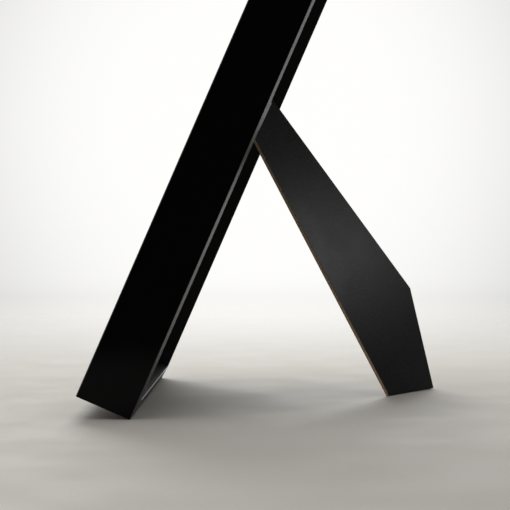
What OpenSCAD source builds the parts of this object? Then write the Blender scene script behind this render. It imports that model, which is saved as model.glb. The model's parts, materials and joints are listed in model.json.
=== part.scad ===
// Digital photo frame: a deep box frame that leans back on an easel leg.
//
// Frame axes used by most modules: X across the frame, Y rearward from its back plane and
// Z up along its back, with the origin at the middle of the outer bottom rear edge.
// leaned() stands that frame on the floor. Hinge axes: X along the pin, Y down the folded
// leg and Z rearward, with the origin at the middle of the pin.

/* [Frame] */
// Width across the outside of the rails
frame_w = 226; // [222:1:236]
// Height up the back, outside of the rails
frame_h = 300; // [298:1:320]
// Depth of the rails at their outer faces
frame_d = 27; // [27:0.5:32]
// How far the frame leans back from upright
tilt = 23.5; // [18:0.5:26]
// Thickness of a rail behind its front lip
rail_t = 9; // [8.5:0.1:9.5]
// Width of a rail's front face, with the lip
face_w = 13; // [12:0.5:16]
// How far a rail's back rises from its outer to its inner edge
rear_rise = 0.95; // [0.4:0.05:1.2]

/* [Screen] */
// Width of the picture window in the mat
window_w = 134; // [120:1:135]
// Height of the picture window in the mat
window_h = 215; // [200:1:216]
// Width of the screen module
screen_w = 149; // [147:1:152]
// Height of the screen module
screen_h = 229.5; // [228:0.5:232]

/* [Leg] */
// Middle of the hinge pin, right of the frame's middle
hinge_x = 47.8; // [46:0.1:49]
// Middle of the hinge pin, up the back
hinge_z = 161.1; // [159:0.1:163]
// Turn of the hinge pin from level
hinge_turn = 45; // [44:0.5:46]
// Opening angle of the leg on its stop
leg_open = 49; // [46:0.5:52]
// Thickness of the leg board
leg_t = 1.8; // [1.5:0.1:2]
// Width of the leg's outline at the pin
leg_top_w = 30.3; // [29:0.1:32]
// Angle between the leg's two long edges
leg_taper = 15.7; // [14:0.1:16]
// Turn of the leg's centreline from square to the pin
leg_skew = 2.5; // [2:0.1:3]
// Width of the foot cut used upright
foot_w = 52.7; // [50:0.1:54]
// Length of the leg's inner long edge, from the pin to the knee
knee_len = 157.3; // [154:0.1:160]

/* [Back] */
// Depth of the back panel's outer face below the back plane
recess = 11; // [11:0.1:11.4]
// Thickness of the back panel
panel_t = 2.6; // [2.4:0.1:2.8]
// Height of the electronics cover above the back panel
cover_rise = 8; // [7.6:0.1:8.2]
// Travel of a button
button_travel = 0.8; // [0.5:0.1:0.8]

/* [Hidden] */
$fn = 64;
ARC_STEPS = 6;
EPS = 0.01;

// Edge radii of the rails
back_edge_r = 0.3;
front_edge_r = 0.6;
lip_t = 4;

// Rearward levels of the layers, from the lip to the cover
glass_y = -frame_d + lip_t;
glass_t = 2;
mat_y = glass_y + glass_t;
mat_t = 1.4;
mat_bevel = 1.2;
screen_y = mat_y + mat_t;
panel_y = -recess;
panel_front_y = panel_y - panel_t;
plate_t = 1.2;
plate_y = panel_front_y - 0.3;
plate_front_y = plate_y - plate_t;

// Room between the rails, less a fitting gap all round
fit_gap = 0.5;
inside_w = frame_w - 2 * rail_t - 2 * fit_gap;
inside_h = frame_h - 2 * rail_t - 2 * fit_gap;
mid_z = frame_h / 2;

// Screen module, front to back
sheet_t = 0.5;
cell_y = screen_y + 0.6;
cell_t = 1.1;
film_y = cell_y + cell_t + 0.05;
film_t = 0.5;
guide_y = film_y + film_t + 0.05;
guide_t = 1.1;
tray_y = guide_y + guide_t + 0.05;
tray_t = 0.3;
tray_fit = 0.1;
tray_wall = 0.5;
tray_lip = 0.9;
led_h = 2.4;
led_count = 18;

// Electronics cover and what is under it
cover_wall = 1.5;
cover_r = 2;
cover_w = 46;
cover_h = 96;
flange_w = 5;
flange_t = 1.2;
cover_x1 = frame_w / 2 - 15;
cover_x0 = cover_x1 - cover_w;
cover_z0 = 22;
cover_z1 = cover_z0 + cover_h;
cover_y = panel_y + cover_rise;
cover_in_y = cover_y - cover_wall;
board_x0 = cover_x0 + 3;
board_x1 = cover_x1 - 3;
board_z0 = 40;
board_z1 = 100;
board_t = 1.6;
board_y = plate_y + 2;
board_top = board_y + board_t;
socket_h = 5.7;
socket_x = cover_x0 + 0.3;

// Buttons: a column on the board's outer edge
button_x = board_x1 - 5;
button_pitch = 10;
button_z0 = 50;
button_r = 3.2;
button_gap = 0.3;
button_flange_r = 4.2;
switch_size = 6;
switch_h = 3.5;

// Hinge
hinge_n = -8;
sheet_steel = 0.8;
pin_r = 1;
pin_clear = 0.05;
knuckle_r = 1.9;
knuckle_mid = 10;
knuckle_gap = 0.3;
knuckle_end = 13;
leg_start = 3;
leaf_len = 9;
leaf_w = 27;
plate_len = 15;
stop_gap = 0.1;
stop_len = 7;
stop_root = 0.5;
neck_inset = 0.3;
panel_w_level = panel_y - hinge_n;
rivet_r = 1.1;
facing_t = 0.15;

// Rail section as [rearward, inward] points, with a radius for each corner
rail_section = [
    [-frame_d, 0], [-frame_d, face_w], [-frame_d + lip_t, face_w],
    [-frame_d + lip_t, rail_t], [rear_rise, rail_t], [0, 0]
];
rail_radii = [front_edge_r, front_edge_r, 0, 0, back_edge_r, back_edge_r];

// Placing the frame: the rounded bottom rear edge stands on the floor
rest_centre = arc_centre([rear_rise, rail_t], [0, 0], [-frame_d, 0], back_edge_r);
floor_gap = back_edge_r - (rest_centre[1] * cos(tilt) - rest_centre[0] * sin(tilt));
front_reach = (-frame_d + front_edge_r) * cos(tilt) + front_edge_r * sin(tilt) - front_edge_r;

// Leg outline in hinge axes: foot line from where the board's under face meets the floor
near_slope = leg_skew + leg_taper / 2;
far_slope = leg_skew - leg_taper / 2;
foot_den = cos(leg_open) * cos(hinge_turn) * cos(tilt) + sin(leg_open) * sin(tilt);
foot_turn = sin(hinge_turn) * cos(tilt) / foot_den;
foot_reach = (
    (hinge_z - leg_t * sin(leg_open) * cos(hinge_turn)) * cos(tilt)
    - (hinge_n - leg_t * cos(leg_open)) * sin(tilt) + floor_gap
) / foot_den;
near_top = [leg_top_w / 2 + leg_start * tan(near_slope), leg_start];
far_top = [-leg_top_w / 2 + leg_start * tan(far_slope), leg_start];
heel_y = (foot_reach - foot_turn * leg_top_w / 2) / (1 + foot_turn * tan(near_slope));
heel = [leg_top_w / 2 + heel_y * tan(near_slope), heel_y];
toe = heel + foot_w * [-1, foot_turn] / norm([1, foot_turn]);
knee = [-leg_top_w / 2 + knee_len * sin(far_slope), knee_len * cos(far_slope)];
leg_outline = [far_top, near_top, heel, toe, knee];

// Reach of the toe behind the bottom rear edge, which sets the box's middle
toe_up = hinge_z - toe[0] * sin(hinge_turn) - toe[1] * cos(leg_open) * cos(hinge_turn);
toe_back = hinge_n + toe[1] * sin(leg_open);
rear_reach = toe_up * sin(tilt) + toe_back * cos(tilt);
centre_y = (front_reach + rear_reach) / 2;

function unit(v) = v / norm(v);
function half_angle(a, b, c) = acos(unit(a - b) * unit(c - b)) / 2;
function arc_centre(a, b, c, r) =
    b + unit(unit(a - b) + unit(c - b)) * r / sin(half_angle(a, b, c));
function turn_to(a, b) = (b - a + 540) % 360 - 180;
function corner_points(a, b, c, r) =
    let (
        o = arc_centre(a, b, c, r),
        reach = r / tan(half_angle(a, b, c)),
        first = b + unit(a - b) * reach - o,
        last = b + unit(c - b) * reach - o,
        start = atan2(first[1], first[0]),
        sweep = turn_to(start, atan2(last[1], last[0]))
    )
    [for (i = [0:ARC_STEPS])
        let (angle = start + sweep * i / ARC_STEPS)
        o + r * [cos(angle), sin(angle)]];
function rounded(points, radii) =
    let (n = len(points))
    [for (i = [0:n - 1]) each
        radii[i] == 0 ? [points[i]]
        : corner_points(points[(i + n - 1) % n], points[i], points[(i + 1) % n], radii[i])];

module leaned() {
    translate([0, -centre_y, floor_gap]) rotate([-tilt, 0, 0]) children();
}

module hinge_axes() {
    leaned() translate([hinge_x, hinge_n, hinge_z])
        rotate([0, hinge_turn, 0]) rotate([-90, 0, 0]) children();
}

module leg_axes() {
    hinge_axes() rotate([leg_open, 0, 0]) children();
}

// Box between two corners
module slab(low, high) {
    translate(low) cube(high - low);
}

// Board centred on the frame's middle, its front face at y
module sheet(w, h, y, t) {
    translate([-w / 2, y, mid_z - h / 2]) cube([w, t, h]);
}

// Cylinder pointing rearward
module peg(x, z, y0, y1, r) {
    translate([x, y0, z]) rotate([-90, 0, 0]) cylinder(h = y1 - y0, r = r);
}

// Flat shape drawn in frame axes [X, Z] and made y0 to y1 thick
module cut_shape(y0, y1) {
    translate([0, y1, 0]) rotate([90, 0, 0]) linear_extrude(y1 - y0) children();
}

// Rectangle about (x, z) with round corners
module round_plate(x, z, w, h, r) {
    corners = [[-w / 2, -h / 2], [w / 2, -h / 2], [w / 2, h / 2], [-w / 2, h / 2]];
    translate([x, z]) polygon(rounded(corners, [r, r, r, r]));
}

// Screw with a pan head: seat is the level under the head
module pan_screw(x, z, seat, length, r, head_r, head_h) {
    slot_reach = head_r * 0.6;
    translate([x, seat, z]) rotate([-90, 0, 0]) difference() {
        union() {
            translate([0, 0, -length]) cylinder(h = length + EPS, r = r);
            rotate_extrude() polygon(rounded(
                [[0, 0], [head_r, 0], [head_r, head_h], [0, head_h]], [0, 0, head_h * 0.7, 0]));
        }
        slab([-slot_reach, -0.2, head_h - 0.5], [slot_reach, 0.2, head_h + 0.5]);
        slab([-0.2, -slot_reach, head_h - 0.5], [0.2, slot_reach, head_h + 0.5]);
    }
}

// ---- Rails ----

module rail_bar(length) {
    intersection() {
        translate([-length / 2, 0, 0]) rotate([90, 0, 90])
            linear_extrude(length) polygon(rounded(rail_section, rail_radii));
        cut_shape(-frame_d - 1, rear_rise + 1) polygon([
            [-length / 2, 0], [length / 2, 0],
            [length / 2 - face_w, face_w], [-length / 2 + face_w, face_w]
        ]);
    }
}

module rail(x, z, turn, length) {
    leaned() difference() {
        translate([x, 0, z]) rotate([0, turn, 0]) rail_bar(length);
        nail_shapes();
        point_shapes();
    }
}

module rail_right() { color("#08080a") rail(frame_w / 2, mid_z, -90, frame_h); }
module rail_left() { color("#08080a") rail(-frame_w / 2, mid_z, 90, frame_h); }
module rail_top() { color("#08080a") rail(0, frame_h, 180, frame_w); }
module rail_bottom() { color("#08080a") rail(0, 0, 0, frame_w); }

// V-nail across each mitre, driven in from the back
nail_in = 4.2;
nail_leg = 4;
nail_t = 0.7;
nail_depth = 9;

module nail_shapes() {
    for (sx = [-1, 1], sz = [-1, 1])
        translate([sx * frame_w / 2, 0, mid_z + sz * frame_h / 2]) mirror([sx > 0 ? 1 : 0, 0, 0])
            mirror([0, 0, sz > 0 ? 1 : 0]) translate([nail_in, -nail_depth, nail_in]) {
                cube([nail_leg, nail_depth, nail_t]);
                cube([nail_t, nail_depth, nail_leg]);
            }
}

module corner_nails() { color("#8a8d90") leaned() nail_shapes(); }

// Flat steel points driven into the rails over the back panel
point_w = 9;
point_t = 0.6;
point_in = 5;
point_out = 8;
side_points = [[-1, 40], [-1, 150], [-1, 260], [1, 195], [1, 262]];
end_points = [[-1, -62], [-1, 20], [1, -62], [1, 62]];

module point_shapes() {
    for (p = side_points)
        translate([p[0] * (frame_w / 2 - rail_t), panel_y + EPS, p[1]])
            mirror([p[0] > 0 ? 1 : 0, 0, 0])
                slab([-point_in, 0, -point_w / 2], [point_out, point_t, point_w / 2]);
    for (p = end_points)
        translate([p[1], panel_y + EPS, mid_z + p[0] * (frame_h / 2 - rail_t)])
            mirror([0, 0, p[0] > 0 ? 1 : 0])
                slab([-point_w / 2, 0, -point_in], [point_w / 2, point_t, point_out]);
}

module framer_points() { color("#9a9da0") leaned() point_shapes(); }

// ---- Glass, mat and screen ----

module front_glass() { color("#c8d8dc", 0.35) leaned() sheet(inside_w, inside_h, glass_y, glass_t); }

// The window's edge is cut at 45 degrees, as in a bevelled mat
module mat_board() {
    color("#f2f0ea") leaned() difference() {
        sheet(inside_w, inside_h, mat_y, mat_t);
        sheet(window_w, window_h, mat_y - 1, mat_t + 2);
        for (turn = [0, 90, 180, 270]) {
            reach = turn % 180 == 0 ? window_h / 2 : window_w / 2;
            span = turn % 180 == 0 ? window_w : window_h;
            translate([0, mat_y, mid_z]) rotate([0, turn, 0]) translate([0, 0, reach])
                rotate([90, 0, 90]) translate([0, 0, -span / 2]) linear_extrude(span)
                    polygon([[-EPS, -EPS], [-EPS, mat_bevel], [mat_bevel, -EPS]]);
        }
    }
}

module lcd_bezel() {
    color("#26272a") leaned() difference() {
        sheet(screen_w, screen_h, screen_y, tray_y - screen_y);
        sheet(window_w + 3, window_h + 3, screen_y - 1, 5);
        sheet(screen_w - 2 * sheet_t, screen_h - 2 * sheet_t, screen_y + sheet_t, 5);
    }
}

module lcd_cell() {
    color("#15171b") leaned() sheet(screen_w - 3, screen_h - 3, cell_y, cell_t);
}

module optical_film() {
    color("#e8ebee") leaned() sheet(screen_w - 4, screen_h - 4, film_y, film_t);
}

module light_guide() {
    color("#dfe8ea") leaned() translate([0, 0, led_h / 2])
        sheet(screen_w - 5, screen_h - 5 - led_h, guide_y, guide_t);
}

// Bar with a row of white emitters along the guide's lower edge
module led_bar() {
    bar_z = mid_z - screen_h / 2 + 2.5;
    bar_reach = screen_w / 2 - 4;
    first = -screen_w / 2 + 9;
    pitch = -2 * first / (led_count - 1);
    color("#e9e4c8") leaned() {
        slab([-bar_reach, guide_y, bar_z - 0.8], [bar_reach, guide_y + guide_t, bar_z]);
        for (i = [0:led_count - 1])
            translate([first + i * pitch - 1.5, guide_y + 0.15, bar_z])
                cube([3, 0.8, 0.8]);
    }
}

module backlight_tray() {
    outer = sheet_t + tray_fit;
    inner = outer + tray_wall;
    wall_h = tray_y - screen_y - tray_lip + tray_fit;
    color("#b9bcbf") leaned() difference() {
        union() {
            sheet(screen_w, screen_h, tray_y, tray_t);
            sheet(screen_w - 2 * outer, screen_h - 2 * outer, screen_y + tray_lip, wall_h);
        }
        sheet(screen_w - 2 * inner, screen_h - 2 * inner, screen_y - 1, tray_y - screen_y + 1);
    }
}

// Driver circuit along the screen's lower edge, and the flat ribbon to the main board
strip_z = mid_z - screen_h / 2 - 9;
strip_h = 8;
strip_x0 = -62;
strip_x1 = 78;
strip_y = screen_y + 2;
strip_top = strip_y + 0.8;
ribbon_x0 = board_x0 + 5;
ribbon_x1 = ribbon_x0 + 17;
ribbon_t = 0.3;
plug_z = strip_z + 2.4;

module driver_strip() {
    color("#1f5a36") leaned() {
        slab([strip_x0, strip_y, strip_z], [strip_x1, strip_top, strip_z + strip_h]);
        for (x = [-48, -16, 16])
            slab([x, strip_top, strip_z + 2], [x + 14, strip_top + 0.8, strip_z + 5]);
        slab([ribbon_x0 - 1, strip_top, strip_z + 1], [ribbon_x1 + 1, strip_top + 1, plug_z]);
    }
}

module ribbon_cable() {
    low_y = strip_top + 0.4;
    high_y = board_top + 0.6;
    turn_z = plug_z + 1.6;
    color("#d9d5c6") leaned() {
        slab([ribbon_x0, low_y, plug_z], [ribbon_x1, low_y + ribbon_t, turn_z]);
        slab([ribbon_x0, low_y, turn_z], [ribbon_x1, high_y + ribbon_t, turn_z + ribbon_t]);
        slab([ribbon_x0, high_y, turn_z + ribbon_t], [ribbon_x1, high_y + ribbon_t, board_z0 + 1]);
    }
}

// ---- Carrier and boards ----

carrier_rim = 7;
rib_t = 2;
well_gap = 0.5;
carrier_columns = [[-92, -50], [-44, -2], [4, 40]];
carrier_rows = [[22, 76], [84, 138], [146, 200], [208, 278]];
upper_x1 = 92;
board_pegs = [for (x = [board_x0 + 2.5, board_x1 - 2.5], z = [board_z0 + 2.5, board_z1 - 2.5]) [x, z]];
cover_pegs = [for (
    x = [cover_x0 - flange_w / 2, cover_x1 + flange_w / 2],
    z = [cover_z0 - flange_w / 2, cover_z1 + flange_w / 2]) [x, z]];

module panel_carrier() {
    well_w = screen_w + 2 * well_gap;
    well_h = screen_h + 2 * well_gap;
    color("#3a3b3e") leaned() difference() {
        union() {
            difference() {
                sheet(inside_w, inside_h, screen_y, panel_front_y - screen_y);
                sheet(inside_w - 2 * carrier_rim, inside_h - 2 * carrier_rim, screen_y - 1, 20);
            }
            sheet(inside_w, inside_h, plate_front_y, plate_t);
            sheet(well_w + 2 * rib_t, well_h + 2 * rib_t, screen_y, plate_front_y - screen_y + EPS);
            for (p = board_pegs)
                peg(p[0], p[1], plate_y - EPS, board_y, 2.2);
        }
        sheet(well_w, well_h, screen_y - 1, plate_front_y - screen_y + 1);
        for (c = carrier_columns, r = carrier_rows)
            slab([c[0], plate_front_y - 1, r[0]], [c[1], plate_y + 1, r[1]]);
        for (r = [carrier_rows[2], carrier_rows[3]])
            slab([carrier_columns[2][1] - 1, plate_front_y - 1, r[0]], [upper_x1, plate_y + 1, r[1]]);
        slab([ribbon_x0 - 1, plate_front_y - 1, plug_z + 0.1], [ribbon_x1 + 1, plate_y + 1, plug_z + 3.6]);
        slab([strip_x0 - 1, screen_y - 1, strip_z - 0.5],
             [strip_x1 + 1, plate_front_y, strip_z + strip_h + 0.5]);
        for (p = board_pegs)
            peg(p[0], p[1], plate_front_y - 1, board_y + 1, 1);
        for (p = cover_pegs)
            peg(p[0], p[1], plate_front_y - 1, plate_y + 1, 1);
    }
}

module main_board() {
    color("#1d6b3c") leaned() difference() {
        slab([board_x0, board_y, board_z0], [board_x1, board_top, board_z1]);
        for (p = board_pegs)
            peg(p[0], p[1], board_y - 1, board_top + 1, 1.2);
    }
}

chip_x = board_x0 + 21;
chip_z = board_z0 + 16;
chip_size = 13;
chip_t = 1.2;

module processor() {
    color("#1a1a1c") leaned()
        slab([chip_x - chip_size / 2, board_top, chip_z - chip_size / 2],
             [chip_x + chip_size / 2, board_top + chip_t, chip_z + chip_size / 2]);
}

module heat_spreader() {
    w = 14;
    h = 16;
    fin_count = 7;
    fin_t = 0.9;
    fin_pitch = (h - fin_t) / (fin_count - 1);
    color("#a4a8ac") leaned() translate([chip_x - w / 2, board_top + chip_t, chip_z - h / 2]) {
        cube([w, 1, h]);
        for (i = [0:fin_count - 1])
            translate([0, 0, i * fin_pitch]) cube([w, 3.4, fin_t]);
    }
}

module memory_chips() {
    color("#1a1a1c") leaned() for (z = [board_z0 + 33, board_z0 + 46])
        slab([board_x0 + 23.5, board_top, z], [board_x0 + 29.5, board_top + 1, z + 9]);
}

module capacitors() {
    color("#34363c") leaned() for (x = [12.5, 18.5])
        peg(board_x0 + x, board_z0 + 4.2, board_top, board_top + 5.2, 2.5);
}

// Barrel inlet with a centre pin, open towards the frame's middle
dc_z = 48;
dc_bore_r = 1.85;
dc_len = 10;

module dc_inlet() {
    color("#17181a") leaned() {
        difference() {
            slab([socket_x, board_top, dc_z - 3.5], [socket_x + dc_len, board_top + socket_h, dc_z + 3.5]);
            translate([socket_x - 1, board_top + socket_h / 2, dc_z]) rotate([0, 90, 0])
                cylinder(h = dc_len - 0.5, r = dc_bore_r);
        }
        translate([socket_x + 1.5, board_top + socket_h / 2, dc_z]) rotate([0, 90, 0])
            cylinder(h = dc_len - 2, r = 0.65);
    }
}

// Flat socket for a drive, with its contact tongue
usb_z = 58.6;
usb_w = 13.1;
usb_len = 14;
shell_t = 0.3;

module usb_socket() {
    end_x = socket_x + usb_len;
    top = board_top + socket_h;
    half = usb_w / 2;
    color("#b4b7ba") leaned() {
        difference() {
            slab([socket_x, board_top, usb_z - half], [end_x, top, usb_z + half]);
            slab([socket_x - 1, board_top + shell_t, usb_z - half + shell_t],
                 [end_x - 2, top - shell_t, usb_z + half - shell_t]);
        }
        slab([socket_x + 1, board_top + 1.2, usb_z - 5.5], [end_x - 1, board_top + 2.8, usb_z + 5.5]);
    }
}

// Memory card socket: a thin tray with a slot
card_z = 81;
card_w = 28;
card_len = 24;
card_h = 3;
card_slot_w = 24.4;
card_slot_h = 2.3;

module card_socket() {
    end_x = socket_x + card_len;
    floor_y = board_top + shell_t;
    color("#b4b7ba") leaned() difference() {
        slab([socket_x, board_top, card_z - card_w / 2], [end_x, board_top + card_h, card_z + card_w / 2]);
        slab([socket_x - 1, floor_y, card_z - card_slot_w / 2],
             [end_x - 1.5, floor_y + card_slot_h, card_z + card_slot_w / 2]);
    }
}

module tact_switches() {
    color("#2a2b2e") leaned() for (i = [0:4])
        translate([button_x, board_top, button_z0 + i * button_pitch])
            slab([-switch_size / 2, 0, -switch_size / 2], [switch_size / 2, switch_h, switch_size / 2]);
}

speaker_w = 30;
speaker_h = 13.5;
speaker_x = (cover_x0 + cover_x1) / 2;
speaker_zs = [cover_z0 + cover_wall + 8, cover_z1 - cover_wall - 7.6];
speaker_y0 = cover_in_y - 4.7;
speaker_y1 = cover_in_y - 0.2;

module speakers() {
    color("#202124") leaned() for (z = speaker_zs) difference() {
        cut_shape(speaker_y0, speaker_y1) round_plate(speaker_x, z, speaker_w, speaker_h, 3);
        cut_shape(speaker_y1 - 1.6, speaker_y1 + 1)
            round_plate(speaker_x, z, speaker_w - 3, speaker_h - 3, 5);
    }
}

module board_screws() {
    color("#9a9da0") leaned() for (p = board_pegs)
        pan_screw(p[0], p[1], board_top, 4.6, 1, 1.9, 1.2);
}

// ---- Back panel, cover and buttons ----

hanger_t = 0.8;
hanger_hole_r = 4;
hanger_slot_w = 4.2;
hanger_slot = 7;
hanger_w = 36;
hanger_h = 19;
hanger_screw_x = 13;
hanger_relief = 2.5;
hanger_spots = [[0, frame_h - 27, 0], [frame_w / 2 - 22, 150, 90]];

module back_panel() {
    color("#141416") leaned() difference() {
        sheet(inside_w, inside_h, panel_front_y, panel_t);
        slab([cover_x0 + cover_wall, panel_front_y - 1, cover_z0 + cover_wall],
             [cover_x1 - cover_wall, panel_y + 1, cover_z1 - cover_wall]);
        for (s = hanger_spots)
            hanger_place(s) {
                relief_x = hanger_slot_w / 2 + hanger_relief;
                peg(0, 0, panel_front_y - 1, panel_y + 1, hanger_hole_r + 1);
                slab([-relief_x, panel_front_y - 1, 0], [relief_x, panel_y + 1, hanger_slot + 1]);
                for (x = [-hanger_screw_x, hanger_screw_x])
                    peg(x, 0, panel_front_y - 1, panel_y + 1, 1);
            }
        for (p = cover_pegs)
            peg(p[0], p[1], panel_front_y - 1, panel_y + 1, 1);
        panel_rivet_holes();
    }
}

module hanger_place(spot) {
    translate([spot[0], 0, spot[1]]) rotate([0, spot[2], 0]) children();
}

// Rows of sound slots over each speaker, vents over the heat spreader
slot_w = 1.4;

module slot_row(x, z, count, pitch, length) {
    for (i = [0:count - 1])
        translate([x + (i - (count - 1) / 2) * pitch, 0, z])
            slab([-slot_w / 2, cover_in_y - 1, -length / 2], [slot_w / 2, cover_y + 1, length / 2]);
}

module electronics_cover() {
    x = (cover_x0 + cover_x1) / 2;
    z = (cover_z0 + cover_z1) / 2;
    color("#1b1c1e") leaned() difference() {
        union() {
            cut_shape(panel_y, cover_y) round_plate(x, z, cover_w, cover_h, cover_r);
            cut_shape(panel_y, panel_y + flange_t)
                round_plate(x, z, cover_w + 2 * flange_w, cover_h + 2 * flange_w, cover_r);
        }
        slab([cover_x0 + cover_wall, panel_y - 1, cover_z0 + cover_wall],
             [cover_x1 - cover_wall, cover_in_y, cover_z1 - cover_wall]);
        for (z = speaker_zs)
            slot_row(speaker_x, z, 7, 3.6, 8);
        slot_row(chip_x, chip_z, 5, 3, 14);
        for (i = [0:4])
            peg(button_x, button_z0 + i * button_pitch, cover_in_y - 1, cover_y + 1, button_r + button_gap);
        for (p = cover_pegs)
            peg(p[0], p[1], panel_y - 1, panel_y + 2, 1.1);
        port_cut(dc_z, 7, socket_h);
        port_cut(usb_z, usb_w, socket_h);
        port_cut(card_z, card_w, card_h);
    }
}

// Opening in the cover's wall around a socket
module port_cut(z, w, h) {
    slab([cover_x0 - 1, board_top - 0.2, z - w / 2 - 0.2],
         [cover_x0 + cover_wall + EPS, min(board_top + h + 0.2, cover_in_y), z + w / 2 + 0.2]);
}

module cover_screws() {
    color("#6d7073") leaned() for (p = cover_pegs)
        pan_screw(p[0], p[1], panel_y + flange_t, 5, 1, 1.9, 1.2);
}

// Cap, retaining flange and stem, turned as one profile
module button(i) {
    top = cover_y + 0.8;
    flange_top = cover_in_y - 0.2;
    stem_end = board_top + switch_h + button_travel + 0.05;
    color("#2c2d30") leaned() translate([button_x, 0, button_z0 + i * button_pitch])
        rotate([-90, 0, 0]) rotate_extrude() polygon(rounded([
            [0, stem_end], [1.2, stem_end], [1.2, flange_top - 0.8], [button_flange_r, flange_top - 0.8],
            [button_flange_r, flange_top], [button_r, flange_top], [button_r, top], [0, top]
        ], [0, 0, 0, 0, 0, 0, 0.4, 0]));
}

module button_power() { button(0); }
module button_menu() { button(1); }
module button_up() { button(2); }
module button_down() { button(3); }
module button_enter() { button(4); }

module hanger_plates() {
    color("#a6a9ac") leaned() for (s = hanger_spots)
        hanger_place(s) difference() {
            cut_shape(panel_y, panel_y + hanger_t) round_plate(0, 1.5, hanger_w, hanger_h, 2.5);
            peg(0, 0, panel_y - 1, panel_y + 2, hanger_hole_r);
            slab([-hanger_slot_w / 2, panel_y - 1, 0], [hanger_slot_w / 2, panel_y + 2, hanger_slot]);
            for (x = [-hanger_screw_x, hanger_screw_x])
                peg(x, 0, panel_y - 1, panel_y + 2, 1.1);
        }
}

module hanger_screws() {
    color("#9a9da0") leaned() for (s = hanger_spots)
        hanger_place(s) for (x = [-hanger_screw_x, hanger_screw_x])
            pan_screw(x, 0, panel_y + hanger_t, 3.2, 1, 2, 1);
}

// ---- Hinge and leg, in hinge axes ----

plate_rivet_spots = [for (x = [-10, 10], y = [-5.5, -11]) [x, y]];
leaf_rivet_spots = [for (x = [-9, 0, 9]) [x, 6]];

// Cylinder along the pin
module along_pin(x0, x1, r) {
    translate([x0, 0, 0]) rotate([0, 90, 0]) cylinder(h = x1 - x0, r = r);
}

module hinge_plate() {
    top = panel_w_level + sheet_steel;
    color("#8f9295") hinge_axes() difference() {
        union() {
            slab([-knuckle_end - 2, -plate_len, panel_w_level], [knuckle_end + 2, 0, top]);
            for (side = [-1, 1]) {
                x0 = side < 0 ? -knuckle_end : knuckle_mid / 2 + knuckle_gap;
                x1 = side < 0 ? -knuckle_mid / 2 - knuckle_gap : knuckle_end;
                along_pin(x0, x1, knuckle_r);
                slab([x0, -knuckle_r, panel_w_level + EPS], [x1, -knuckle_r + sheet_steel, 0]);
            }
        }
        along_pin(-knuckle_end - 1, knuckle_end + 1, pin_r);
        for (p = plate_rivet_spots)
            translate([p[0], p[1], panel_w_level - 1]) cylinder(h = 3, r = rivet_r);
    }
}

module panel_rivet_holes() {
    translate([hinge_x, hinge_n, hinge_z]) rotate([0, hinge_turn, 0]) rotate([-90, 0, 0])
        for (p = plate_rivet_spots)
            translate([p[0], p[1], panel_w_level - panel_t - 1]) cylinder(h = panel_t + 2, r = rivet_r);
}

// Rivet through the stack from low to high, domed above and flattened below
module rivet(x, y, low, high) {
    head = [[0, high], [rivet_r * 1.8, high], [rivet_r * 1.8, high + 0.7], [0, high + 0.7]];
    translate([x, y, 0]) {
        translate([0, 0, low - EPS]) cylinder(h = high - low + 2 * EPS, r = rivet_r);
        rotate_extrude() polygon(rounded(head, [0, 0, 0.6, 0]));
        translate([0, 0, low - 0.5]) cylinder(h = 0.5, r = rivet_r * 1.5);
    }
}

module plate_rivets() {
    color("#a6a9ac") hinge_axes() for (p = plate_rivet_spots)
        rivet(p[0], p[1], panel_w_level - panel_t, panel_w_level + sheet_steel);
}

module hinge_pin() {
    color("#a6a9ac") hinge_axes() {
        along_pin(-knuckle_end - 0.8, knuckle_end + 0.8, pin_r);
        along_pin(-knuckle_end - 0.8, -knuckle_end, pin_r + 0.5);
        along_pin(knuckle_end, knuckle_end + 0.8, pin_r + 0.5);
    }
}

// Moving leaf: knuckle, neck and short riveted pad, with the tail that meets the plate when open
module hinge_leaf() {
    stop_low = panel_w_level + sheet_steel + stop_gap;
    neck = knuckle_mid / 2 - neck_inset;
    color("#8f9295") hinge_axes() difference() {
        union() {
            along_pin(-knuckle_mid / 2, knuckle_mid / 2, knuckle_r);
            slab([-neck, -stop_len, stop_low], [neck, -stop_root, stop_low + sheet_steel]);
            rotate([leg_open, 0, 0]) linear_extrude(sheet_steel) polygon(rounded([
                [-neck, 0], [neck, 0], [neck, leg_start],
                [leaf_w / 2, leg_start], [leaf_w / 2, leaf_len],
                [-leaf_w / 2, leaf_len], [-leaf_w / 2, leg_start], [-neck, leg_start]
            ], [0, 0, 0, 1.5, 2.5, 2.5, 1.5, 0]));
        }
        along_pin(-knuckle_mid, knuckle_mid, pin_r + pin_clear);
        rotate([leg_open, 0, 0]) leaf_rivet_holes();
    }
}

module leaf_rivet_holes() {
    for (p = leaf_rivet_spots)
        translate([p[0], p[1], -leg_t - 1]) cylinder(h = leg_t + 4, r = rivet_r);
}

module leaf_rivets() {
    color("#a6a9ac") leg_axes() for (p = leaf_rivet_spots)
        rivet(p[0], p[1], -leg_t, sheet_steel);
}

module leg_layer(low, high) {
    leg_axes() difference() {
        translate([0, 0, low]) linear_extrude(high - low) polygon(leg_outline);
        leaf_rivet_holes();
    }
}

module leg_board() { color("#6b5138") leg_layer(-leg_t + facing_t, -facing_t); }

module leg_facings() {
    color("#1c1d1f") {
        leg_layer(-facing_t, 0);
        leg_layer(-leg_t, -leg_t + facing_t);
    }
}

rail_right();
rail_left();
rail_top();
rail_bottom();
corner_nails();
framer_points();
front_glass();
mat_board();
lcd_bezel();
lcd_cell();
optical_film();
light_guide();
led_bar();
backlight_tray();
driver_strip();
ribbon_cable();
panel_carrier();
main_board();
processor();
heat_spreader();
memory_chips();
capacitors();
dc_inlet();
usb_socket();
card_socket();
tact_switches();
speakers();
board_screws();
back_panel();
electronics_cover();
cover_screws();
button_power();
button_menu();
button_up();
button_down();
button_enter();
hanger_plates();
hanger_screws();
hinge_plate();
plate_rivets();
hinge_pin();
hinge_leaf();
leaf_rivets();
leg_board();
leg_facings();
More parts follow.
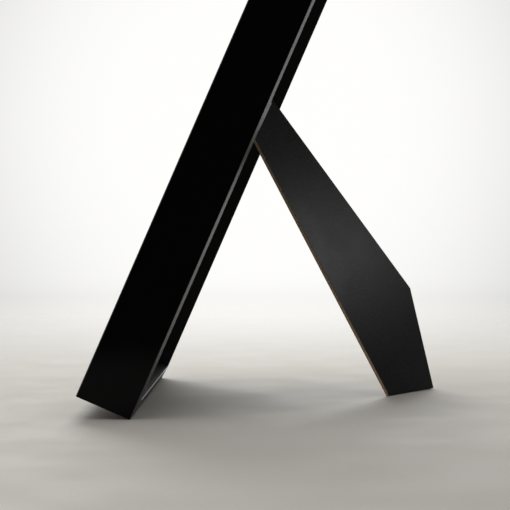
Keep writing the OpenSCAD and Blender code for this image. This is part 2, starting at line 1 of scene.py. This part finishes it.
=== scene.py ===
"""The looks of the digital photo frame: materials, button marks, floor, light and camera."""

import json
import math

import bmesh
import bpy
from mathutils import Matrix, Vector


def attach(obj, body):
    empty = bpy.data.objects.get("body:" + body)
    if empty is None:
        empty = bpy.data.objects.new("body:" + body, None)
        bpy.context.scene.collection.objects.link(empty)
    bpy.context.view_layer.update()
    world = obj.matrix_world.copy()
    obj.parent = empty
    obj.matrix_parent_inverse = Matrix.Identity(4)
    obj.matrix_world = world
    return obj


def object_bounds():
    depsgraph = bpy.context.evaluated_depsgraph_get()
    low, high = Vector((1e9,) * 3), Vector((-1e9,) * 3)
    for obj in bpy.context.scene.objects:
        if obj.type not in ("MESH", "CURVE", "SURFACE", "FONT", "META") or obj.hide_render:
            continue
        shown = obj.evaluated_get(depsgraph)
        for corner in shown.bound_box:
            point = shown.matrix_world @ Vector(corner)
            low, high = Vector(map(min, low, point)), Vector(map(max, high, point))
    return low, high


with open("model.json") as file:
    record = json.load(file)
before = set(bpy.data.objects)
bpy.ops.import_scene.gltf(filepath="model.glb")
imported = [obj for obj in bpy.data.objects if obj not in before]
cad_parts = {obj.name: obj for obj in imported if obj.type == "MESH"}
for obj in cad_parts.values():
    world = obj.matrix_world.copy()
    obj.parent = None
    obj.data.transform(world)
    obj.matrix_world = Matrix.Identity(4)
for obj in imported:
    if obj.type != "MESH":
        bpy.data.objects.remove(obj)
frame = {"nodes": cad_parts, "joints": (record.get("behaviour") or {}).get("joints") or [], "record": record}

cad_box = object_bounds()

MM = 0.001
NODES = frame["nodes"]
SLOT_OF = {s["node"]: s["material_slot"] for s in frame["record"]["subparts"]}
RAILS = ("rail_right", "rail_left", "rail_top", "rail_bottom")


# ---- The leaning frame's own axes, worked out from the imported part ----


def joint(name):
    """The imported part's joint of this name."""
    return next(j for j in frame["joints"] if j["name"] == name)


ACROSS = Vector((1, 0, 0))
REARWARD = -Vector(joint("press_power")["axis"]).normalized()
UP_BACK = ACROSS.cross(REARWARD)


def span(nodes, direction):
    """Lowest and highest place of these nodes along a direction, in metres."""
    places = [v.co.dot(direction) for n in nodes for v in NODES[n].data.vertices]
    return min(places), max(places)


HALF_WIDTH = span(RAILS, ACROSS)[1]
BACK_LOW, BACK_HIGH = span(RAILS, UP_BACK)
BACK_PLANE = span(("rail_bottom",), REARWARD)[1]


# ---- Building node trees ----

# A noise texture's values nearly all lie between these
NOISE_LOW = 0.3
NOISE_HIGH = 0.7

# Cosines of how far a softened edge's shading turns from the flat face beside it
BARELY_TURNED = 0.98
WELL_TURNED = 0.8


def with_alpha(colour):
    """A plain colour as the four numbers that a socket takes; a socket is left as it is."""
    return (*colour, 1) if isinstance(colour, tuple) else colour


def named(sockets, identifier):
    """The socket with this identifier, for a node whose sockets share their names."""
    return next(s for s in sockets if s.identifier == identifier)


class Nodes:
    """A node tree, with a method for each kind of node that the looks and the sky need."""

    def __init__(self, tree):
        self.tree = tree

    def add(self, kind, **settings):
        """A new node of this kind, with its own settings."""
        made = self.tree.nodes.new(kind)
        for name, value in settings.items():
            setattr(made, name, value)
        return made

    def feed(self, socket, value):
        """Links an output to a socket, or sets a plain value on it."""
        if isinstance(value, bpy.types.NodeSocket):
            self.tree.links.new(value, socket)
        else:
            socket.default_value = value

    def calculate(self, operation, a, b=0.0):
        """A sum on numbers, each an output or a plain number."""
        made = self.add("ShaderNodeMath", operation=operation)
        self.feed(made.inputs[0], a)
        self.feed(made.inputs[1], b)
        return made.outputs[0]

    def vectors(self, operation, a, b, result="Value"):
        """A sum on two vectors, each an output or a plain Vector."""
        made = self.add("ShaderNodeVectorMath", operation=operation)
        self.feed(made.inputs[0], a)
        self.feed(made.inputs[1], b)
        return made.outputs[result]

    def along(self, vector, direction):
        """How far a vector reaches along a direction."""
        return self.vectors("DOT_PRODUCT", vector, direction)

    def between(self, value, low, high, to_low=0.0, to_high=1.0):
        """A value taken smoothly from the range low to high, to the range to_low to to_high."""
        made = self.add("ShaderNodeMapRange", interpolation_type="SMOOTHSTEP")
        for socket, number in zip(made.inputs, (value, low, high, to_low, to_high)):
            self.feed(socket, number)
        return made.outputs[0]

    def mix(self, factor, a, b, data_type="FLOAT", kind="Float"):
        """Number a where factor is 0 and b where it is 1."""
        made = self.add("ShaderNodeMix", data_type=data_type)
        self.feed(made.inputs["Factor"], factor)
        self.feed(named(made.inputs, f"A_{kind}"), a)
        self.feed(named(made.inputs, f"B_{kind}"), b)
        return named(made.outputs, f"Result_{kind}")

    def blend(self, factor, a, b):
        """Colour a where factor is 0 and b where it is 1."""
        return self.mix(factor, with_alpha(a), with_alpha(b), "RGBA", "Color")


class Surface(Nodes):
    """One procedural material: a Principled shader and the textures that drive it."""

    def __init__(self, name, colour, roughness, **fixed):
        self.material = bpy.data.materials.new(name)
        self.material.use_nodes = True
        super().__init__(self.material.node_tree)
        self.shader = self.tree.nodes["Principled BSDF"]
        self.colour(with_alpha(colour))
        self.roughness(roughness)
        for socket, value in fixed.items():
            self.shader.inputs[socket.replace("_", " ")].default_value = value
        coordinates = self.add("ShaderNodeTexCoord")
        self.place = coordinates.outputs["Object"]
        self.facing = coordinates.outputs["Normal"]
        self.last_normal = None

    def stretched(self, direction, factor):
        """Coordinates squeezed along a direction, so that a texture on them runs long that way."""
        made = self.add("ShaderNodeMapping")
        self.feed(made.inputs["Vector"], self.place)
        made.inputs["Rotation"].default_value = direction.to_track_quat("X", "Z").inverted().to_euler()
        made.inputs["Scale"].default_value = (1 / factor, 1, 1)
        return made.outputs[0]

    def noise(self, size, detail=2.0, place=None):
        """Soft noise from 0 to 1 whose grains are about size metres."""
        made = self.add("ShaderNodeTexNoise")
        self.feed(made.inputs["Vector"], place or self.place)
        made.inputs["Scale"].default_value = 1 / size
        made.inputs["Detail"].default_value = detail
        return made.outputs[0]

    def cells(self, size, feature="F1"):
        """Distance pattern of a Voronoi texture whose cells are about size metres."""
        made = self.add("ShaderNodeTexVoronoi", feature=feature)
        self.feed(made.inputs["Vector"], self.place)
        made.inputs["Scale"].default_value = 1 / size
        return made.outputs["Distance"]

    def spread(self, noise, to_low=0.0, to_high=1.0):
        """Noise taken from its usual range to the range to_low to to_high."""
        return self.between(noise, NOISE_LOW, NOISE_HIGH, to_low, to_high)

    def colour(self, value):
        self.feed(self.shader.inputs["Base Color"], value)

    def roughness(self, value):
        self.feed(self.shader.inputs["Roughness"], value)

    def bump(self, height, depth):
        """Raises the surface by height, from 0 to 1, times depth in metres, over any earlier bump."""
        made = self.add("ShaderNodeBump")
        made.inputs["Distance"].default_value = depth
        self.feed(made.inputs["Height"], height)
        if self.last_normal:
            self.feed(made.inputs["Normal"], self.last_normal)
        self.last_normal = made.outputs[0]
        self.feed(self.shader.inputs["Normal"], self.last_normal)

    def soften_edges(self, radius):
        """Rounds sharp edges in the shading, and returns a mask that is 1 on those edges."""
        rounded = self.add("ShaderNodeBevel", samples=4)
        rounded.inputs["Radius"].default_value = radius
        flat = self.add("ShaderNodeNewGeometry").outputs["True Normal"]
        self.last_normal = rounded.outputs[0]
        self.feed(self.shader.inputs["Normal"], self.last_normal)
        return self.between(self.along(self.last_normal, flat), BARELY_TURNED, WELL_TURNED)

    def see_through(self, share, tint=(1, 1, 1, 1)):
        """Lets a share of the rays, from 0 to 1, pass straight through the surface."""
        clear = self.add("ShaderNodeBsdfTransparent")
        clear.inputs["Color"].default_value = tint
        mixed = self.add("ShaderNodeMixShader")
        self.feed(mixed.inputs[0], share)
        self.feed(mixed.inputs[1], self.shader.outputs[0])
        self.feed(mixed.inputs[2], clear.outputs[0])
        self.feed(self.tree.nodes["Material Output"].inputs["Surface"], mixed.outputs[0])


# ---- One function for each kind of material ----

LACQUER = (0.0025, 0.0025, 0.003)
UNDERCOAT = (0.022, 0.022, 0.023)
# Painted highlight: a lighter colour on the rails' rounded edges, standing in for the light they catch, and
# those edges' roughness
PAINTED_EDGE_HIGHLIGHT = (0.08, 0.08, 0.081)
EDGE_HIGHLIGHT_ROUGHNESS = 0.17

# Cosines off the nearest of the frame's axes, for a face on a rounded edge and for a flat one
ROUNDED = 0.93
SQUARE = 0.985

# How far behind the back the point lies that the satin sides face
BEHIND_BACK = 22 * MM

# Half widths of a mitre's hairline, where it is deepest and where it ends
HAIRLINE_CORE = 0.03 * MM
HAIRLINE_EDGE = 0.12 * MM


def rail_lacquer(name):
    """High-gloss black lacquer with a painted highlight along its rounded edges; the rails' backs and inner
    sides are only sprayed satin.
    """
    look = Surface(name, LACQUER, roughness=0.07, Specular_IOR_Level=0.09)
    gloss = look.between(look.noise(14 * MM, 3), 0.35, 0.7, 0.05, 0.1)
    satin = look.spread(look.noise(0.9 * MM, 3), 0.3, 0.4)
    sprayed = inner_side(look)
    edge = rounded_edge(look)
    # Rounded edges: a lower roughness, and a painted highlight in a lighter colour than the lacquer
    look.roughness(look.mix(edge, look.mix(sprayed, gloss, satin), EDGE_HIGHLIGHT_ROUGHNESS))
    look.colour(look.blend(edge, look.blend(sprayed, LACQUER, UNDERCOAT), PAINTED_EDGE_HIGHLIGHT))
    look.bump(look.noise(1.8 * MM, 2), 0.002 * MM)
    look.bump(mitre_line(look), -0.04 * MM)
    return look.material


def rounded_edge(look):
    """1 on the rounded edges, which get a painted highlight and a lower roughness, and 0 on the flat faces.
    """
    squarest = 0.0
    for direction in (ACROSS, REARWARD, UP_BACK):
        squareness = look.calculate("ABSOLUTE", look.along(look.facing, direction))
        squarest = look.calculate("MAXIMUM", squareness, squarest)
    return look.between(squarest, ROUNDED, SQUARE, 1, 0)


def inner_side(look):
    """1 on the backs and inner sides: they face a point behind the middle of the back; 0 elsewhere."""
    middle = REARWARD * (BACK_PLANE + BEHIND_BACK) + UP_BACK * (BACK_LOW + BACK_HIGH) / 2
    inward = look.vectors("SUBTRACT", middle, look.place, "Vector")
    return look.between(look.along(look.facing, inward), -2 * MM, 2 * MM)


def mitre_line(look):
    """1 along the hairline where two rails meet at a corner."""
    side = look.calculate("ABSOLUTE", look.along(look.place, ACROSS))
    height = look.along(look.place, UP_BACK)
    from_side = look.calculate("SUBTRACT", HALF_WIDTH, side)
    from_low = look.calculate("SUBTRACT", height, BACK_LOW)
    from_high = look.calculate("SUBTRACT", BACK_HIGH, height)
    from_end = look.calculate("MINIMUM", from_low, from_high)
    off_line = look.calculate("ABSOLUTE", look.calculate("SUBTRACT", from_side, from_end))
    return look.between(off_line, HAIRLINE_CORE, HAIRLINE_EDGE, 1, 0)


def pebbled_black(name, grain, dark, light):
    """Black foil or paper with a fine pebbled grain, rubbed a little smoother in patches."""
    look = Surface(name, dark, roughness=0.32, Specular_IOR_Level=0.07)
    fine = look.noise(grain, 3)
    pebbles = look.cells(1.3 * grain)
    tops = look.between(fine, 0.5, 0.72)
    look.colour(look.blend(tops, dark, light))
    look.roughness(look.spread(look.noise(22 * MM, 3), 0.28, 0.32))
    look.bump(pebbles, 0.02 * MM)
    look.bump(fine, 0.05 * MM)
    return look.material


def leg_facing(name):
    """Black paper on both faces of the easel leg."""
    return pebbled_black(name, 0.8 * MM, (0.004, 0.004, 0.0043), (0.02, 0.02, 0.0205))


def panel_board(name):
    """Black foil on the back panel."""
    return pebbled_black(name, 0.9 * MM, (0.011, 0.011, 0.012), (0.021, 0.021, 0.022))


def raw_fibreboard(name):
    """Sawn edge of brown fibreboard: short fibres lying flat, with darker resin flecks."""
    look = Surface(name, (0.42, 0.28, 0.17), roughness=0.85)
    fibres = look.noise(0.35 * MM, 4, look.stretched(ACROSS, 4))
    flecks = look.between(look.noise(0.8 * MM, 2), 0.58, 0.7)
    wood = look.blend(look.spread(fibres), (0.3, 0.19, 0.11), (0.54, 0.385, 0.25))
    look.colour(look.blend(flecks, wood, (0.18, 0.115, 0.07)))
    look.roughness(look.spread(fibres, 0.75, 0.95))
    look.bump(fibres, 0.08 * MM)
    return look.material


def moulded(name, colour, roughness, grain, depth):
    """Moulded plastic with an even spark-eroded grain and edges rubbed a little shinier."""
    look = Surface(name, colour, roughness)
    edge = look.soften_edges(0.25 * MM)
    fine = look.noise(grain, 3)
    lighter = tuple(1.5 * c + 0.004 for c in colour)
    worn = tuple(2.2 * c + 0.01 for c in colour)
    look.colour(look.blend(edge, look.blend(look.spread(fine), colour, lighter), worn))
    look.roughness(look.spread(look.noise(9 * MM, 3), roughness - 0.06, roughness + 0.06))
    look.bump(fine, depth)
    return look.material


def cover_plastic(name):
    return moulded(name, (0.016, 0.016, 0.017), roughness=0.5, grain=0.32 * MM, depth=0.03 * MM)


def button_plastic(name):
    return moulded(name, (0.035, 0.035, 0.037), roughness=0.34, grain=0.25 * MM, depth=0.008 * MM)


def socket_plastic(name):
    return moulded(name, (0.012, 0.012, 0.013), roughness=0.42, grain=0.3 * MM, depth=0.006 * MM)


def carrier_plastic(name):
    return moulded(name, (0.045, 0.045, 0.05), roughness=0.5, grain=0.4 * MM, depth=0.02 * MM)


def chip_body(name):
    return moulded(name, (0.011, 0.011, 0.012), roughness=0.6, grain=0.15 * MM, depth=0.01 * MM)


def speaker_body(name):
    return moulded(name, (0.02, 0.02, 0.021), roughness=0.55, grain=0.6 * MM, depth=0.02 * MM)


def plated(name, colour, tarnish, roughness, grain):
    """Sheet or turned metal: a drawn grain one way, mottled plating, and edges rubbed bright."""
    look = Surface(name, colour, roughness, Metallic=1.0)
    edge = look.soften_edges(0.12 * MM)
    drawn = look.noise(0.14 * MM, 3, look.stretched(grain, 30))
    cloud = look.between(look.noise(9 * MM, 5), 0.35, 0.75)
    bright = tuple(min(1.0, 1.35 * c) for c in colour)
    mottled = look.blend(cloud, colour, tarnish)
    look.colour(look.blend(edge, mottled, bright))
    uneven = look.calculate("ADD", drawn, cloud)
    look.roughness(look.between(uneven, 0.3, 1.6, roughness - 0.07, roughness + 0.16))
    look.bump(drawn, 0.006 * MM)
    return look.material


def hinge_steel(name):
    return plated(name, (0.5, 0.5, 0.49), (0.44, 0.44, 0.425), roughness=0.34, grain=ACROSS)


def hanger_steel(name):
    return plated(name, (0.62, 0.62, 0.6), (0.55, 0.545, 0.52), roughness=0.3, grain=ACROSS)


def rivet_steel(name):
    return plated(name, (0.56, 0.56, 0.55), (0.42, 0.42, 0.4), roughness=0.28, grain=REARWARD)


def screw_zinc(name):
    return plated(name, (0.63, 0.63, 0.61), (0.5, 0.48, 0.42), roughness=0.26, grain=REARWARD)


def screw_black(name):
    return plated(name, (0.06, 0.06, 0.063), (0.035, 0.034, 0.033), roughness=0.36, grain=REARWARD)


def bright_steel(name):
    return plated(name, (0.58, 0.59, 0.6), (0.4, 0.38, 0.35), roughness=0.3, grain=UP_BACK)


def black_steel(name):
    return plated(name, (0.04, 0.04, 0.042), (0.03, 0.03, 0.031), roughness=0.45, grain=ACROSS)


def tray_metal(name):
    return plated(name, (0.7, 0.71, 0.72), (0.6, 0.61, 0.62), roughness=0.35, grain=ACROSS)


def spreader_metal(name):
    return plated(name, (0.5, 0.51, 0.53), (0.4, 0.41, 0.42), roughness=0.32, grain=UP_BACK)


def socket_shell(name):
    return plated(name, (0.68, 0.67, 0.64), (0.56, 0.54, 0.5), roughness=0.24, grain=ACROSS)


def capacitor_can(name):
    return plated(name, (0.1, 0.1, 0.13), (0.07, 0.07, 0.09), roughness=0.3, grain=REARWARD)


def mat_card(name):
    """White mat card with a toothed paper face."""
    look = Surface(name, (0.86, 0.85, 0.81), roughness=0.88)
    tooth = look.noise(0.5 * MM, 4)
    fibre = look.between(look.noise(0.7 * MM, 4), 0.35, 0.7)
    look.colour(look.blend(fibre, (0.87, 0.86, 0.825), (0.83, 0.82, 0.78)))
    look.roughness(look.spread(tooth, 0.8, 0.95))
    look.bump(tooth, 0.04 * MM)
    return look.material


def screen_glass(name):
    """A switched-off screen: dark, with a faint sparkle from its anti-glare face."""
    look = Surface(name, (0.006, 0.0065, 0.008), roughness=0.2, Specular_IOR_Level=0.15)
    sparkle = look.noise(0.12 * MM, 2)
    cast = look.between(look.noise(60 * MM, 2), 0.35, 0.65)
    look.colour(look.blend(cast, (0.006, 0.0065, 0.008), (0.009, 0.009, 0.014)))
    look.roughness(look.spread(sparkle, 0.14, 0.22))
    look.bump(sparkle, 0.002 * MM)
    return look.material


def clear_glass(name):
    """Clear pane that lets lamps light the mat behind it, with faint smears on its face."""
    look = Surface(name, (0.985, 0.99, 0.985), roughness=0.0, Transmission_Weight=1.0, IOR=1.5)
    look.roughness(look.between(look.noise(18 * MM, 4), 0.52, 0.8, 0.0, 0.03))
    paths = look.add("ShaderNodeLightPath").outputs
    lighting = look.calculate("MAXIMUM", paths["Is Shadow Ray"], paths["Is Diffuse Ray"])
    look.see_through(lighting, (0.96, 0.965, 0.96, 1))
    return look.material


def milky(name, colour, clouded, roughness):
    """Pale plastic with a faint cloud of a second colour in it."""
    look = Surface(name, colour, roughness)
    cloud = look.between(look.noise(12 * MM, 3), 0.35, 0.7)
    look.colour(look.blend(cloud, colour, clouded))
    look.roughness(look.spread(look.noise(2 * MM, 3), roughness - 0.05, roughness + 0.05))
    look.bump(look.noise(0.3 * MM, 2), 0.004 * MM)
    return look.material


def film(name):
    return milky(name, (0.82, 0.84, 0.86), (0.76, 0.78, 0.8), roughness=0.5)


def acrylic(name):
    return milky(name, (0.76, 0.83, 0.84), (0.7, 0.78, 0.8), roughness=0.15)


def led(name):
    return milky(name, (0.82, 0.76, 0.5), (0.9, 0.88, 0.8), roughness=0.4)


# Blender's wave texture turns its coordinate times this into the angle of its sine
WAVE_ANGLE = 20
CONDUCTOR_PITCH = 1 * MM


def ribbon(name):
    """Flat ribbon with a conductor every millimetre."""
    look = Surface(name, (0.78, 0.75, 0.66), roughness=0.42)
    wave = look.add("ShaderNodeTexWave", bands_direction="X")
    look.feed(wave.inputs["Vector"], look.place)
    wave.inputs["Scale"].default_value = 2 * math.pi / (WAVE_ANGLE * CONDUCTOR_PITCH)
    conductors = wave.outputs["Fac"]
    look.colour(look.blend(conductors, (0.8, 0.77, 0.68), (0.6, 0.57, 0.5)))
    look.roughness(look.spread(look.noise(4 * MM, 3), 0.36, 0.5))
    look.bump(conductors, 0.03 * MM)
    return look.material


def circuit_board(name):
    """Green solder mask over copper tracks."""
    look = Surface(name, (0.012, 0.1, 0.04), roughness=0.3, Coat_Weight=0.4, Coat_Roughness=0.15)
    tracks = look.between(look.cells(2.2 * MM, "DISTANCE_TO_EDGE"), 0.08, 0.12, 1, 0)
    look.colour(look.blend(tracks, (0.01, 0.085, 0.034), (0.03, 0.17, 0.06)))
    look.roughness(look.spread(look.noise(3 * MM, 3), 0.25, 0.4))
    look.bump(tracks, 0.02 * MM)
    return look.material


LOOKS = (
    rail_lacquer, leg_facing, panel_board, raw_fibreboard, cover_plastic, button_plastic,
    socket_plastic, carrier_plastic, chip_body, speaker_body, hinge_steel, hanger_steel,
    rivet_steel, screw_zinc, screw_black, bright_steel, black_steel, tray_metal,
    spreader_metal, socket_shell, capacitor_can, mat_card, screen_glass, clear_glass,
    film, acrylic, led, ribbon, circuit_board,
)


def dress_nodes():
    """Gives every CAD node its own slot's material."""
    made = {build.__name__: build(build.__name__) for build in LOOKS}
    for name, node in NODES.items():
        for slot in node.material_slots:
            slot.material = made[SLOT_OF[name]]


# ---- Printed marks on the button caps ----

INK_HEIGHT = 0.05 * MM
MARK_SIZE = 1.25 * MM

# The marks' outlines are drawn in units of MARK_SIZE, about the middle of the cap
STROKE = 0.26
ARROW_HALF_WIDTH = 0.8
ARROW_HALF_HEIGHT = 0.75


def bar(x, y, width, height):
    """Outline of an upright rectangle about (x, y)."""
    return [
        (x + sx * width / 2, y + sy * height / 2)
        for sx, sy in ((-1, -1), (1, -1), (1, 1), (-1, 1))
    ]


def ring_band(radius, width, gap, steps=28):
    """Outer and inner outlines of an open ring, with a gap at its top given in degrees."""
    angles = [math.radians(90 + gap / 2 + (360 - gap) * i / steps) for i in range(steps + 1)]
    return [
        [(r * math.cos(a), r * math.sin(a)) for a in angles]
        for r in (radius + width / 2, radius - width / 2)
    ]


def arrow(up):
    """Outline of a triangle that points up where up is 1 and down where it is -1."""
    tip = ARROW_HALF_HEIGHT * up
    corners = [(-ARROW_HALF_WIDTH, -tip), (ARROW_HALF_WIDTH, -tip), (0, tip)]
    return corners[::up]


def add_prism(mesh, outline, place):
    """Adds a flat outline to a bmesh as a thin closed solid."""
    low = [mesh.verts.new(place(x, y, 0)) for x, y in outline]
    high = [mesh.verts.new(place(x, y, INK_HEIGHT)) for x, y in outline]
    mesh.faces.new(low[::-1])
    mesh.faces.new(high)
    count = len(outline)
    for i in range(count):
        j = (i + 1) % count
        mesh.faces.new((low[i], low[j], high[j], high[i]))


def add_band(mesh, outer, inner, place):
    """Adds an open ring to a bmesh as a thin closed solid, one block at a time."""
    rings = []
    for a, b in zip(outer, inner):
        rings.append([mesh.verts.new(place(x, y, h)) for x, y in (a, b) for h in (0, INK_HEIGHT)])
    for first, second in zip(rings, rings[1:]):
        for i, j in ((0, 1), (1, 3), (3, 2), (2, 0)):
            mesh.faces.new((first[i], first[j], second[j], second[i]))
    mesh.faces.new([rings[0][i] for i in (0, 2, 3, 1)])
    mesh.faces.new([rings[-1][i] for i in (0, 1, 3, 2)])


def mark_ink():
    """Pale ink, printed a little thin in places."""
    look = Surface("mark_ink", (0.6, 0.6, 0.6), roughness=0.5)
    thin = look.spread(look.noise(0.3 * MM, 3))
    look.colour(look.blend(thin, (0.5, 0.5, 0.5), (0.68, 0.68, 0.68)))
    look.roughness(look.spread(look.noise(0.8 * MM), 0.42, 0.58))
    look.bump(look.noise(0.1 * MM), 0.01 * MM)
    return look.material


def button_mark(name, ink, outlines, band=None):
    """A printed mark on the cap of one button, which rides on that button."""
    node = NODES[f"button_{name}"]
    top = span([node.name], REARWARD)[1]
    across, up = (sum(span([node.name], d)) / 2 for d in (ACROSS, UP_BACK))
    centre = across * ACROSS + up * UP_BACK + top * REARWARD

    def place(x, y, height):
        return centre - x * MARK_SIZE * ACROSS + y * MARK_SIZE * UP_BACK + height * REARWARD

    mesh = bmesh.new()
    for outline in outlines:
        add_prism(mesh, outline, place)
    if band:
        add_band(mesh, *band, place)
    bmesh.ops.recalc_face_normals(mesh, faces=mesh.faces)
    data = bpy.data.meshes.new(f"mark_{name}")
    mesh.to_mesh(data)
    mesh.free()
    data.materials.append(ink)
    mark = bpy.data.objects.new(f"mark_{name}", data)
    bpy.context.scene.collection.objects.link(mark)
    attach(mark, f"button_{name}")


def add_marks():
    """Gives every button its mark, in plain shapes and no lettering."""
    ink = mark_ink()
    button_mark("power", ink, [bar(0, 0.62, STROKE, 0.95)], ring_band(0.85, STROKE, gap=70))
    button_mark("menu", ink, [bar(0, y, 1.6, STROKE) for y in (-0.65, 0, 0.65)])
    button_mark("up", ink, [arrow(1)])
    button_mark("down", ink, [arrow(-1)])
    button_mark("enter", ink, [bar(0, 0, 1.1, 1.1)])


# ---- Floor, light and camera ----

FLOOR_RADIUS = 4.0
FLOOR_PAINT = (0.66, 0.63, 0.58)
FLOOR_DARKER = (0.655, 0.625, 0.575)
FLOOR_LIGHTER = (0.665, 0.635, 0.585)

# The floor starts to fade this far from a point in front of the object, and fades over this length
FADE_CENTRE = Vector((0.3, 0, 0))
FADE_START = 0.46
FADE_LENGTH = 0.68

# It also fades between these places along +X, which lie below the camera's view,
# so that the near rail's gloss doesn't pick up a bright floor there
FRONT_FADE_START = 0.36
FRONT_FADE_END = 0.7


def floor():
    """A pale floor that fades into the backdrop, so that no horizon shows."""
    mesh = bmesh.new()
    bmesh.ops.create_circle(mesh, cap_ends=True, segments=96, radius=FLOOR_RADIUS)
    data = bpy.data.meshes.new("floor")
    mesh.to_mesh(data)
    mesh.free()
    data.materials.append(floor_paint())
    ground = bpy.data.objects.new("floor", data)
    bpy.context.scene.collection.objects.link(ground)


def floor_paint():
    """Matt paint that turns see-through towards the far edges of the floor and towards the camera."""
    look = Surface("floor_paint", FLOOR_PAINT, roughness=0.75)
    look.colour(look.blend(look.spread(look.noise(3 * MM, 3)), FLOOR_DARKER, FLOOR_LIGHTER))
    look.roughness(look.spread(look.noise(40 * MM, 2), 0.7, 0.8))
    away = look.vectors("DISTANCE", look.place, FADE_CENTRE)
    beyond = look.calculate("MAXIMUM", look.calculate("SUBTRACT", away, FADE_START), 0.0)
    left = look.calculate("POWER", math.e, look.calculate("DIVIDE", beyond, -FADE_LENGTH))
    in_front = look.between(look.along(look.place, ACROSS), FRONT_FADE_START, FRONT_FADE_END)
    look.see_through(look.calculate("MAXIMUM", look.calculate("SUBTRACT", 1.0, left), in_front))
    return look.material


BACKDROP = Vector((-1, 0, 0.09)).normalized()
OVERHEAD = Vector((0, 0, 1))
FRONT = Vector((0.2, -1, 0.25)).normalized()
SKY_COLOUR = (1.0, 0.995, 0.98, 1)

# What the camera sees: a bright patch around the backdrop's middle, by angle off it and brightness
PATCH_EDGE = math.radians(14.5)
PATCH_CORE = math.radians(3.5)
SEEN_EDGE = 0.7
SEEN_CORE = 1.0

# What lights the object: for each glow its direction, the cosines off it where the glow
# starts and is full, and its strength at those two
GLOWS = (
    (BACKDROP, 0.5, 0.96, 0.04, 0.85),
    (OVERHEAD, 0.3, 0.9, 0.0, 0.46),
    (FRONT, 0.35, 0.95, 0.0, 0.4),
)

# For each lamp its place, the point it faces, its width and height in metres, and its watts
SOFTBOXES = {
    "back_light": (Vector((-1.4, -0.12, 1.0)), Vector((0, 0, 0)), 1.0, 0.6, 13.5),
    "leg_light": (Vector((-0.25, 0.6, 0.23)), Vector((0, 0.04, 0.09)), 0.08, 0.08, 0.19),
}


def studio():
    """The surround, which the camera sees and the object is lit by in different ways, and the lamps."""
    world = bpy.data.worlds.new("studio")
    bpy.context.scene.world = world
    world.use_nodes = True
    sky = Nodes(world.node_tree)
    direction = sky.add("ShaderNodeTexCoord").outputs["Generated"]
    off_backdrop = sky.along(direction, BACKDROP)
    seen = sky.between(off_backdrop, math.cos(PATCH_EDGE), math.cos(PATCH_CORE), SEEN_EDGE, SEEN_CORE)
    lighting = 0.0
    for toward, *limits in GLOWS:
        lighting = sky.calculate("ADD", lighting, sky.between(sky.along(direction, toward), *limits))
    to_camera = sky.add("ShaderNodeLightPath").outputs["Is Camera Ray"]
    background = sky.tree.nodes["Background"]
    sky.feed(background.inputs["Color"], SKY_COLOUR)
    sky.feed(background.inputs["Strength"], sky.mix(to_camera, lighting, seen))
    for name, settings in SOFTBOXES.items():
        softbox(name, *settings)


def softbox(name, place, target, width, height, power):
    """A rectangular soft light that points at target and isn't seen by the camera."""
    lamp = bpy.data.lights.new(name, "AREA")
    lamp.shape = "RECTANGLE"
    lamp.size = width
    lamp.size_y = height
    lamp.energy = power
    holder = bpy.data.objects.new(name, lamp)
    holder.location = place
    holder.rotation_euler = (target - place).to_track_quat("-Z", "Y").to_euler()
    holder.visible_camera = False
    bpy.context.scene.collection.objects.link(holder)


# The camera looks level along -X, from beside the frame
CAMERA_OFF = 660.6 * MM
CAMERA_FROM_FRONT = 81.59 * MM
CAMERA_HEIGHT = 75.1 * MM
CAMERA_LENS = 102.35
SENSOR_WIDTH = 36
NEAREST_SEEN = 0.01
FARTHEST_SEEN = 50


def camera():
    """Makes the camera and sets it as the scene's own."""
    data = bpy.data.cameras.new("camera")
    data.lens = CAMERA_LENS
    data.sensor_width = SENSOR_WIDTH
    data.clip_start = NEAREST_SEEN
    data.clip_end = FARTHEST_SEEN
    holder = bpy.data.objects.new("camera", data)
    holder.location = (HALF_WIDTH + CAMERA_OFF, cad_box[0][1] + CAMERA_FROM_FRONT, CAMERA_HEIGHT)
    holder.rotation_euler = (-ACROSS).to_track_quat("-Z", "Y").to_euler()
    bpy.context.scene.collection.objects.link(holder)
    bpy.context.scene.camera = holder


dress_nodes()
add_marks()
floor()
studio()
camera()
bpy.context.scene.view_settings.view_transform = "Standard"
